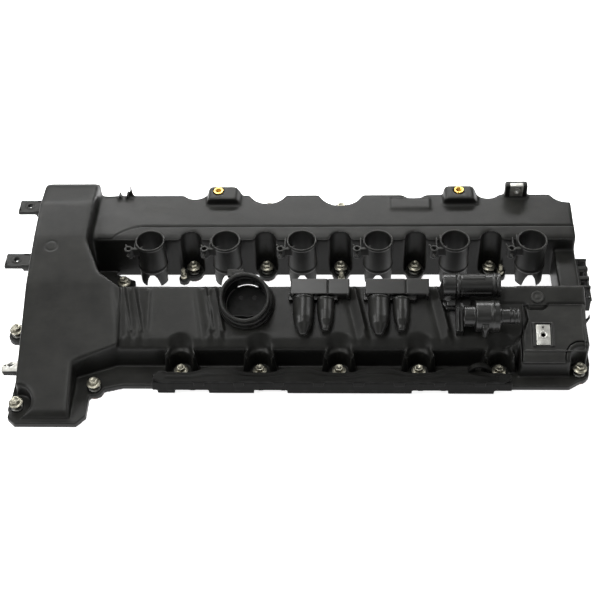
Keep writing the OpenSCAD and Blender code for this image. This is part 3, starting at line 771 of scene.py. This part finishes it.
def rear_lid():
    low, high = cad("rear_separator_lid")
    left_x, right_x, back_y, front_y = low.x + 2, high.x - 3, high.y - 2, low.y + 6
    edge = [(left_x, back_y), (right_x, back_y), (right_x, front_y), (left_x, front_y)]
    rise = [roof_point(x, valley_y - y, 0.6) for x, y in edge]
    bead = sweep(rise, 1.2, closed=True, sides=8)
    made = refined(["rear_separator_lid"], [bead], 0.7, 5, "rear_lid")
    weld_channel(made.data)
    placed(made, "rear_lid", lid_black_painted_sheen, stands_for=["rear_separator_lid"])


rear_lid()


def weld_plug():
    low, high = cad("weld_disc")
    at = on_roof((low.x + high.x) / 2, 18, 0.05)
    disc = [(0, 0), (7.6, 0), (7.6, 1.1), (7, 1.7), (5.2, 1.7), (4.8, 1.2), (2.4, 1.2), (2.1, 1.6), (0, 1.6)]
    made = softened(lathe(disc, at), 0.15)
    # The plug takes the lid's paler base colour, the same painted sheen.
    placed(made, "weld_plug", lid_black_painted_sheen, stands_for=["weld_disc"])


weld_plug()

# ------------------------
# Crankcase vent: a glossy pipe with a stepped mouth on an elbow that is welded to the roof, a strap
# that runs down to the pressure valve, and inside the pipe a disc that lets gas out but not back.

vent_black = black_plastic(
    "vent_black", (0.007, 0.007, 0.0067), 0.3, grain=2.0, wear_and_highlight=0.8, bump=0.05, gloss=0.4
)
pipe_lo, pipe_hi = cad("vent_pipe")
pipe_mid = (pipe_lo + pipe_hi) / 2
pipe_at = moved(pipe_lo.x, pipe_mid.y, pipe_mid.z) @ turned(90, "Y")


def vent_pipe():
    bands = [lathe([(12, h), (14.2, h), (14.2, h + 2.2), (12, h + 2.2)], pipe_at) for h in (1.5, 46.5)]
    seam = []
    for side in (-1, 1):
        y = pipe_mid.y + side * 13.2
        seam.append(sweep([(pipe_lo.x + 4, y, pipe_mid.z), (pipe_hi.x - 10, y, pipe_mid.z)], 0.9))
    crown_low = (pipe_lo.x + 6, pipe_mid.y - 3, pipe_hi.z - 2.4)
    crown = block(crown_low, (pipe_lo.x + 32, pipe_mid.y + 3, pipe_hi.z - 0.4))
    made = refined(["vent_pipe"], bands + seam + [crown], 0.6, 4, "pipe")
    placed(made, "vent_outlet_pipe", vent_black, stands_for=["vent_pipe"])


vent_pipe()


def vent_elbow():
    low, high = cad("vent_elbow")
    curve = [(-0.3, 0, 0), (-7, 0, -1), (-9, -2, -8), (-8, -6, -15)]
    bend = [(pipe_lo.x + x, pipe_mid.y + y, pipe_mid.z + z) for x, y, z in curve]
    body = sweep(bend, [13, 12.4, 11.5, 10.5], sides=24)
    stub = [(0, 0.4), (5.5, 0.4), (5.5, 5.6), (0, 5.6)]
    ears = [lathe(stub, on_roof(x, 27)) for x in (low.x + 5, high.x - 4)]
    made = refined(["vent_elbow"], [body] + ears, 0.7, 5, "elbow")
    placed(made, "vent_elbow_body", vent_black, stands_for=["vent_elbow"])


vent_elbow()


def vent_strap():
    low, high = cad("vent_strap")
    x = (low.x + high.x) / 2
    web = block((x - 1.2, -64, 0.3), (x + 1.2, -34, 12), on_roof(0))
    made = refined(["vent_strap"], [web], 0.6, 2, "strap")
    placed(made, "vent_strap_ribbed", vent_black, stands_for=["vent_strap"])


vent_strap()


def rubber(name, colour):
    """Matt rubber: mottled shade, fine pitting, dust in patches."""
    material, tree, shader = new_material(name, 0, [("Specular IOR Level", 0.25)])
    flow = use(tree, "flow_marks", [("Colour", (*colour, 1)), ("Contrast", 0.5)])
    dusty = use(tree, "settled_dust", [("Colour", flow["Colour"]), ("Dust", DUST), ("Amount", 0.12)])
    matt = ramp(tree, flow["Gloss"], 0, 1, 0.62, 0.8)
    skin = use(tree, "moulded_grain", [("Grain", 0.5)])
    relief = relieved(tree, skin["Height"], 0.2, 0.0003)
    fed(tree, shader, [("Base Color", dusty["Colour"]), ("Roughness", matt), ("Normal", relief)])
    return material


def one_way_disc():
    amber_rubber = rubber("disc_rubber", (0.05, 0.022, 0.012))
    low, high = cad("check_disc")
    centre = (low + high) / 2
    stem = [(0, -4.5), (1.6, -4.5), (2.5, -3.4), (2.5, 1.4)]
    disc = [(8.6, 1.4), (9, 1.8), (8.8, 2.7), (0, 3.2)]
    outline = [(r, h + 1.3) for r, h in stem + disc]
    at = moved(low.x + 3.2, centre.y, centre.z) @ turned(90, "Y")
    made = softened(lathe(outline, at), 0.1)
    placed(made, "one_way_disc", amber_rubber, body="check_disc", stands_for=["check_disc"])


one_way_disc()

# ------------------------
# Pressure valve: a drum under the vent pipe that holds a rubber diaphragm, a coil spring and an
# aluminium plate on a stem. Its cap is welded on, and the hose nozzle grows from the cap.


def bare_metal(name, colour, roughness, tarnish, across=6):
    """Plated or turned metal: blotches of tarnish, edges brightened by rubbing and by a painted highlight,
    fine scratches.
    """
    material, tree, shader = new_material(name, 1, [])
    cloud = ramp(tree, noise_map(tree, across, 6.0, 0.65), 0.35, 0.7)
    base = mixed(tree, cloud, (*colour, 1), (*tarnish, 1))
    # Brighter edge colour: rubbed wear plus a painted highlight.
    bright = tuple(min(1.0, c * 1.35) for c in colour)
    worn_and_lit = use(tree, "edge_wear_and_highlight", [("Colour", base), ("Worn_and_lit", (*bright, 1)), ("Amount", 0.8)])
    dusty = use(tree, "settled_dust", [("Colour", worn_and_lit["Colour"]), ("Dust", DUST), ("Amount", 0.08)])
    matt = ramp(tree, cloud, 0, 1, roughness, roughness + 0.18)
    where = node(tree, "Mapping", [("Vector", object_space(tree)), ("Scale", (1, 1, 9))]).outputs[0]
    relief = relieved(tree, noise_map(tree, 1.4, 3.0, 0.7, where), 0.25, 0.00015)
    fed(tree, shader, [("Base Color", dusty["Colour"]), ("Roughness", matt), ("Normal", relief)])
    return material


spring_steel = bare_metal("spring_steel", (0.42, 0.42, 0.43), 0.28, (0.25, 0.24, 0.23), 3)
satin_aluminium = bare_metal("satin_aluminium", (0.6, 0.61, 0.63), 0.33, (0.45, 0.46, 0.47), 9)
drum_lo, drum_hi = cad("valve_housing")
drum_r = (drum_hi.z - drum_lo.z) / 2
drum_axis = Vector((0, (cad("valve_cap")[0].y + cad("valve_cap")[1].y) / 2, drum_lo.z + drum_r))


def along_drum(x):
    return moved(x, drum_axis.y, drum_axis.z) @ turned(90, "Y")


def valve_drum():
    ring = lathe([(15, 0), (18.1, 0), (18.4, 1), (18.1, 2.4), (15, 2.4)], along_drum(drum_hi.x - 9))
    step = lathe([(12, 0), (17.2, 0), (17.2, 2), (12, 2)], along_drum(drum_hi.x - 27))
    nib_at = moved(drum_hi.x - 17, drum_axis.y - 20.2, drum_axis.z - 11)
    nib = lathe([(0, 0), (3.2, 0), (3.2, 12), (2.2, 14), (0, 14)], nib_at)
    made = refined(["valve_housing"], [ring, step, nib], 0.6, 4, "drum")
    placed(made, "pressure_valve_drum", vent_black, stands_for=["valve_housing"])


valve_drum()


def valve_inside():
    cap_at = along_drum(cad("valve_cap")[0].x)
    ring = lathe([(10, 2.6), (11, 2.6), (11, 3.9), (10, 3.9)], cap_at)
    made = refined(["valve_cap"], [ring], 0.45, 1, "cap")
    placed(made, "pressure_valve_cap", vent_black, stands_for=["valve_cap"])

    waves = [(14.4, 0), (13, 0.1), (11.8, 0.5), (10.6, 0), (8.6, 0)]
    waves += [(8.6, 0.5), (10.6, 0.5), (11.8, 1), (13, 0.7), (14.4, 0.9)]
    made = softened(lathe(waves, along_drum(cad("valve_diaphragm")[0].x)), 0.05)
    black_rubber = rubber("diaphragm_rubber", (0.012, 0.012, 0.012))
    placed(made, "diaphragm", black_rubber, stands_for=["valve_diaphragm"])

    coil_lo, coil_hi = cad("valve_spring")
    wire, coil_r, coils, steps = 0.6, 5.85, 4.5, 24
    long = coil_hi.x - coil_lo.x - 2 * wire
    helix = []
    for k in range(int(coils * steps) + 1):
        turn = 2 * pi * k / steps
        rise = blended(k / (coils * steps), 0.1, 0.9)
        helix.append((coil_r * cos(turn), coil_r * sin(turn), wire + long * float(rise)))
    made = sweep(helix, wire, along_drum(coil_lo.x), sides=8)
    placed(made, "pressure_spring", spring_steel, stands_for=["valve_spring"])
    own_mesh(made)

    stem = [(0, 0), (2.4, 0), (3, 0.7), (3, 12.8), (7.8, 12.8), (8.2, 13.2), (8.2, 16)]
    dish = [(7.8, 16.4), (6.4, 16.4), (6.2, 15.6), (2, 15.6), (1.8, 16.2), (0, 16.2)]
    made = softened(lathe(stem + dish, along_drum(cad("valve_plate")[0].x)), 0.12)
    placed(
        made,
        "valve_plate_dished",
        satin_aluminium,
        body="valve_plate",
        stands_for=["valve_plate"],
    )


valve_inside()


def nozzle():
    low, high = cad("vent_nozzle")
    r = (high.z - low.z) / 2 - 1.5
    mouth = [(r - 2.6, 20.5), (r + 0.6, 20.5), (r + 0.9, 21.4), (r + 0.3, 22.9), (r - 2.6, 22.9)]
    grips = [[(r - 2, h), (r + 1.1, h), (r - 0.2, h + 3), (r - 2, h + 3)] for h in (12, 17)]
    rings = [lathe(profile, along_drum(low.x)) for profile in grips + [mouth]]
    made = refined(["vent_nozzle"], rings, 0.5, 1, "nozzle")
    placed(made, "vent_hose_nozzle", vent_black, stands_for=["vent_nozzle"])


nozzle()

# ------------------------
# Wiring duct: a trough along the near edge with a snap cover whose back edge waves round the screws,
# rounded ends, and an arched clip that holds the loom where it leaves.

duct_black = black_plastic("duct_black", (0.003, 0.003, 0.0028), 0.5, wear_and_highlight=0.5, dust=0.03, gloss=0.07)


def duct():
    low, high = cad("wiring_duct")
    feet = []
    for x in np.arange(low.x + 18, high.x - 8, 26):
        feet.append(block((x, low.y - 0.4, low.z + 6), (x + 5, low.y + 3, high.z - 1)))
    made = refined(["wiring_duct"], feet, 0.9, 2, "duct")
    placed(made, "duct_trough", duct_black, stands_for=["wiring_duct"])

    low, high = cad("duct_cover")
    steps = 160
    outline_back, outline_front = [], []
    for k in range(steps + 1):
        x = low.x + (high.x - low.x) * k / steps
        nearest = min(gap_x, key=lambda g: abs(x - g))
        away = min(1.0, abs(x - nearest) / (TUBE_PITCH / 2))
        swell = 8.0 * float(blended(away, 0.25, 0.8)) if -250 < x < 220 else 0
        end = float(blended(min(x - low.x, high.x - x), 0, 9))
        outline_back.append((x, high.y - 3.5 * (1 - end) + swell * end))
        outline_front.append((x, low.y + 3.5 * (1 - end)))
    cover = prism(outline_back + outline_front[::-1], low.z + 0.2, high.z - 1.2)
    crest = [(x, (y + low.y) / 2 - 0.5, high.z - 3.2) for x, y in outline_back[6:-6:2]]
    spine = sweep(crest, 3.1, sides=10)
    edge = sweep([(x, y - 1.6, high.z - 2.2) for x, y in outline_back[4:-4:2]], 1.7, sides=8)
    clasps = []
    for x in [g + s * TUBE_PITCH / 4 for g in gap_x for s in (-1, 1)]:
        if low.x + 12 < x < high.x - 12:
            clasps.append(block((x - 6, low.y - 0.6, low.z - 5), (x + 6, low.y + 3, high.z - 1.6)))
    made = reskinned(joined([cover, spine, edge] + clasps, "duct_lid"), 0.8, 3)
    placed(made, "duct_snap_cover", duct_black, stands_for=["duct_cover"])

    low, high = cad("duct_end_clip")
    hoop_at = moved((low.x + high.x) / 2, high.y, low.z + 14) @ turned(90, "X")
    band = lathe([(10.6, 0.2), (13.6, 0.2), (13.9, 3), (13.6, 5.8), (10.6, 5.8)], hoop_at)
    below = block((-15, -40, -1), (15, 0, 7), hoop_at)
    carved(band, cut=[below])
    post = block((-4.5, -14, 1), (4.5, -1.5, 5), hoop_at)
    made = refined(["duct_end_clip"], [band, post], 0.6, 2, "clip")
    placed(made, "duct_end_arch", duct_black, stands_for=["duct_end_clip"])


duct()

# ------------------------
# Screws: twenty-one zinc-plated captive screws with a domed hexagon head on a stepped flange and a
# rolled thread at the tip, each free to slide in a plain steel sleeve inside a rubber grommet.

zinc = bare_metal("zinc_plate", (0.36, 0.345, 0.28), 0.32, (0.1, 0.095, 0.075), 4)
sleeve_steel = bare_metal("sleeve_steel", (0.22, 0.22, 0.21), 0.4, (0.12, 0.12, 0.11), 5)
grommet_rubber = rubber("grommet_rubber", (0.008, 0.008, 0.008))
SCREW_ROWS = {
    "screws_near_row": "near_screws",
    "screws_valley_row": "valley_screws",
    "screws_back_row": "back_screws",
    "screws_timing_end": "timing_screws",
}


def islands(name):
    """The lowest and highest corner of each separate solid of a CAD node."""
    work = bmesh.new()
    work.from_mesh(frame["nodes"][name].data)
    bmesh.ops.remove_doubles(work, verts=work.verts, dist=WELD)
    left, found = set(work.verts), []
    while left:
        reached, edge = set(), [left.pop()]
        while edge:
            one = edge.pop()
            reached.add(one)
            fresh = [e.other_vert(one) for e in one.link_edges if e.other_vert(one) in left]
            left.difference_update(fresh)
            edge.extend(fresh)
        points = np.array([v.co for v in reached]) / MM - np.array(MIDDLE)
        found.append((Vector(points.min(axis=0)), Vector(points.max(axis=0))))
    work.free()
    return sorted(found, key=lambda pair: (round(pair[0].x), pair[0].y))


def foot_of(low, high):
    """The point under the middle of a solid, and its height."""
    return moved((low.x + high.x) / 2, (low.y + high.y) / 2, low.z), high.z - low.z


def thread(radius, low, high, pitch, at, depth=0.3):
    """A helical ridge on a round bar or in a round hole."""
    steps = 20
    count = int((high - low) / pitch * steps)
    path = []
    for k in range(count + 1):
        a = 2 * pi * k / steps
        path.append((radius * cos(a), radius * sin(a), low + (high - low) * k / count))
    return sweep(path, depth, at, sides=5)


def screw(low, high, spin):
    """One screw: shank and thread, stepped flange, dished washer face and domed hexagon head."""
    at, tall = foot_of(low, high)
    seat = tall - 6.2
    shank = [(0, 0), (2.2, 0), (2.95, 1), (2.95, 12), (2.75, 12.4), (2.75, seat)]
    flange = [(7.6, seat), (8.2, seat + 0.5), (8.1, seat + 1.1), (6.4, seat + 1.9), (5.9, seat + 2)]
    crown = [(5.4, seat + 2.1), (0, seat + 2.1)]
    bar = lathe(shank + flange + crown, at, 36)
    turns = [radians(a) for a in range(0, 360, 60)]
    corners = [(5.4 * cos(a), 5.4 * sin(a)) for a in turns]
    head = softened(prism(corners, seat + 1.9, tall, at @ turned(spin, "Z")), 0.55, 3, radians(20))
    dimple = lathe([(0, tall - 0.9), (1.6, tall - 0.7), (3.1, tall + 0.1), (0, tall + 0.2)], at, 24)
    carved(head, cut=[dimple])
    return [softened(bar, 0.12), head, thread(2.85, 1.2, 11.6, 1, at)]


def screw_row(name, body):
    dice = random.Random(name)
    parts = []
    for low, high in islands(name):
        parts += screw(low, high, dice.uniform(0, 60))
    placed(joined(parts, name), name + "_threaded", zinc, body=body, stands_for=[name])


for name, body in SCREW_ROWS.items():
    screw_row(name, body)


def sleeves():
    """A flared steel sleeve round each screw, and the lipped grommet that holds it."""
    bore, steels, rubbers = 3.5, [], []
    for low, high in islands("screw_sleeves"):
        (at, tall), wide = foot_of(low, high), (high.x - low.x) / 2
        body = [(bore, 0.3), (bore + 0.3, 0), (bore + 1.2, 0.2), (bore + 1.2, tall - 2.2), (wide, tall - 2)]
        top = [(wide, tall - 0.3), (wide - 0.4, tall), (bore + 0.3, tall), (bore, tall - 0.3)]
        steels.append(lathe(body + top, at, 32))
    for low, high in islands("screw_grommets"):
        (at, tall), wide = foot_of(low, high), (high.x - low.x) / 2
        foot = [(4.75, 0), (wide - 0.5, 0), (wide, 0.6)]
        lips = [(wide - 0.1, tall - 0.6), (wide - 0.6, tall), (4.75, tall)]
        rubbers.append(lathe(foot + lips, at, 32))
    made = joined(steels, "sleeves")
    placed(made, "sleeves_flared", sleeve_steel, stands_for=["screw_sleeves"])
    made = joined(rubbers, "grommets")
    placed(made, "grommets_lipped", grommet_rubber, stands_for=["screw_grommets"])


sleeves()

# ------------------------
# Fixings for neighbours: spring-steel clip nuts pushed over lugs, brass inserts melted into their
# bosses, and bare studs that earth the ignition coils.

clip_steel = bare_metal("clip_steel", (0.5, 0.5, 0.47), 0.36, (0.3, 0.29, 0.26), 8)
turned_brass = bare_metal("turned_brass", (0.75, 0.5, 0.13), 0.22, (0.5, 0.32, 0.08), 4)


def clip_nut(name, at, wide, long, slot_x):
    """A folded clip with a drawn threaded neck; at stands on its plate, +z out of it."""
    plate = softened(block((-wide / 2, -long / 2, 0), (wide / 2, long / 2, 1.15), at), 0.35, 3, radians(60))
    hole = lathe([(0, -1), (2.75, -1), (2.75, 3), (0, 3)], at, 32)
    slot = block((slot_x - 1.1, long / 2 - 4.6, -1), (slot_x + 1.1, long / 2 - 2.2, 3), at)
    carved(plate, cut=[hole, slot])
    outside = [(2.7, -1.8), (4.1, -1.8), (4.4, -1.2), (4.4, 0.2), (5.1, 1.2)]
    neck = lathe(outside + [(4.6, 1.6), (3.2, 1.6), (2.7, 1.1)], at)
    leg = block((-wide / 2, long / 2 - 1.2, -4.9), (wide / 2, long / 2, 1.1), at)
    leg = softened(leg, 0.4, 2, radians(60))
    turns = thread(2.75, -1.6, 1.2, 0.8, at, 0.22)
    made = joined([plate, neck, leg, turns], name)
    placed(made, name + "_folded", clip_steel, stands_for=[name], angle=radians(50))


low, high = cad("clip_nut_timing")
timing_at = moved((low.x + high.x) / 2, (low.y + high.y) / 2, high.z - 1.2)
clip_nut("clip_nut_timing", timing_at @ turned(90, "Z"), 16.8, 18.8, 0)
low, high = cad("clip_nut_back")
back_at = moved((low.x + high.x) / 2, low.y + 1.2, (low.z + high.z) / 2) @ turned(90, "X")
clip_nut("clip_nut_back", back_at, 15.8, 16.8, 4)
low, high = cad("clip_nut_rear")
clip_nut("clip_nut_rear", on_roof((low.x + high.x) / 2, 65, 0.8), 15.8, 24.8, 0)


def insert(name):
    """A turned brass bush with a chamfered mouth, knurled where the plastic grips it."""
    at, tall = foot_of(*cad(name))
    outside = [(5.2, 0), (5.5, 0.4), (5.5, 5), (5, 5.4), (5, 7), (5.6, 7.4), (5.6, tall - 1.4), (6, tall - 1)]
    mouth = [(6, tall - 0.3), (5.7, tall), (4.1, tall), (3.3, tall - 1), (3.3, 2), (0, 1.6), (0, 0)]
    parts = [softened(lathe(outside + mouth, at), 0.1), thread(3.3, 2.4, tall - 1.2, 1.0, at, 0.28)]
    for k in range(24):
        parts.append(block((5.3, -0.22, 7.6), (5.85, 0.22, tall - 1.6), at @ turned(15 * k, "Z")))
    placed(joined(parts, name), name + "_turned", turned_brass, stands_for=[name])


insert("brass_insert_1")
insert("brass_insert_2")


def studs():
    parts = []
    for low, high in islands("ground_studs"):
        at, tall = foot_of(low, high)
        foot = [(0, 0), (3.9, 0), (4, 0.3), (4, 4.4), (3.6, 5), (2.3, 5), (2.2, 6)]
        parts.append(softened(lathe(foot + [(2.2, tall - 0.6), (1.7, tall), (0, tall)], at, 32), 0.1))
        parts.append(thread(2.25, 6, tall - 0.8, 0.8, at, 0.24))
    placed(joined(parts, "studs"), "studs_threaded", zinc, stands_for=["ground_studs"])


studs()

# ------------------------
# Brackets: thin moulded plates, ribs and barbed hooks at the rear for the loom, and two pierced ears
# with gussets and a forked lug for the clip nut at the timing end.

bracket_black = black_plastic("bracket_black", (0.0065, 0.0065, 0.006), 0.42, wear_and_highlight=0.6)


def rear_bracket():
    low, high = cad("harness_bracket_rear")
    plates = []
    for k in range(6):
        y = low.y + 66 + k * 8.5
        plates.append(block((low.x - 1, y, low.z + 6), (high.x - 1 - (k % 2) * 4, y + 1.3, high.z - 1)))
    rail = block((high.x - 3.2, low.y + 62, high.z - 4), (high.x - 1, high.y - 1, high.z - 1.4))
    hooks = []
    for y, z in ((high.y - 3, high.z - 1), (high.y - 18, high.z - 2)):
        bend = [(-13, y, z - 3), (-6, y, z - 1), (-2.5, y - 2, z - 1), (-2, y - 5, z - 3)]
        hook = [(high.x + dx, *rest) for dx, *rest in bend]
        hooks.append(sweep(hook, [1.6, 1.5, 1.2, 0.6], sides=8))
    spike = [(low.x + x, low.y + y, low.z + z) for x, y, z in ((6, 48, 6), (8.5, 44, 18), (7, 40, 29))]
    hooks.append(sweep(spike, [2.2, 1.5, 0.4], sides=8))
    made = refined(["harness_bracket_rear"], plates + [rail] + hooks, 0.7, 1, "rear_bracket")
    placed(made, "loom_bracket", bracket_black, stands_for=["harness_bracket_rear"])


rear_bracket()


def timing_ears():
    extras = []
    for low, high in islands("harness_ears_timing"):
        if high.z - low.z < 20:
            continue
        y = (low.y + high.y) / 2
        eye = [(3.3, high.z - 5.2), (5.6, high.z - 5.2), (5.6, high.z + 0.7), (3.3, high.z + 0.7)]
        extras.append(lathe(eye, moved(low.x + 14, y), 32))
        for side in (-1, 1):
            edge = y + side * 9.6
            extras.append(block((low.x + 22, edge - 0.9, high.z - 9), (high.x, edge + 0.9, high.z + 0.8)))
        barb = [(low.x + x, y - 6, high.z + z) for x, z in ((3, -4), (1.5, 2.5), (3.5, 4))]
        extras.append(sweep(barb, 0.9, sides=8))
    made = refined(["harness_ears_timing"], extras, 0.7, 1, "timing_ears")
    placed(made, "loom_ears", bracket_black, stands_for=["harness_ears_timing"])


timing_ears()

# ------------------------
# Inside and under: the separator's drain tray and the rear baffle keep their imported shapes, with
# eased edges, and the moulded rubber gasket lies in its groove round the flange.

gasket_rubber = rubber("gasket_rubber", (0.075, 0.028, 0.014))


def carried(name, material, ease):
    """A CAD node that is shown as packed, with a finish and a modifier that eases its edges."""
    shown = frame["nodes"][name]
    shown.data.materials.clear()
    shown.data.materials.append(material)
    if ease:
        round_off = shown.modifiers.new("ease", "BEVEL")
        round_off.width, round_off.segments = ease * MM, 2
        round_off.limit_method, round_off.angle_limit = "ANGLE", SMOOTH_ANGLE


carried("separator_tray_front", inner_black, 0.5)
carried("rear_baffle", inner_black, 0.4)
carried("gasket_outer", gasket_rubber, 0)
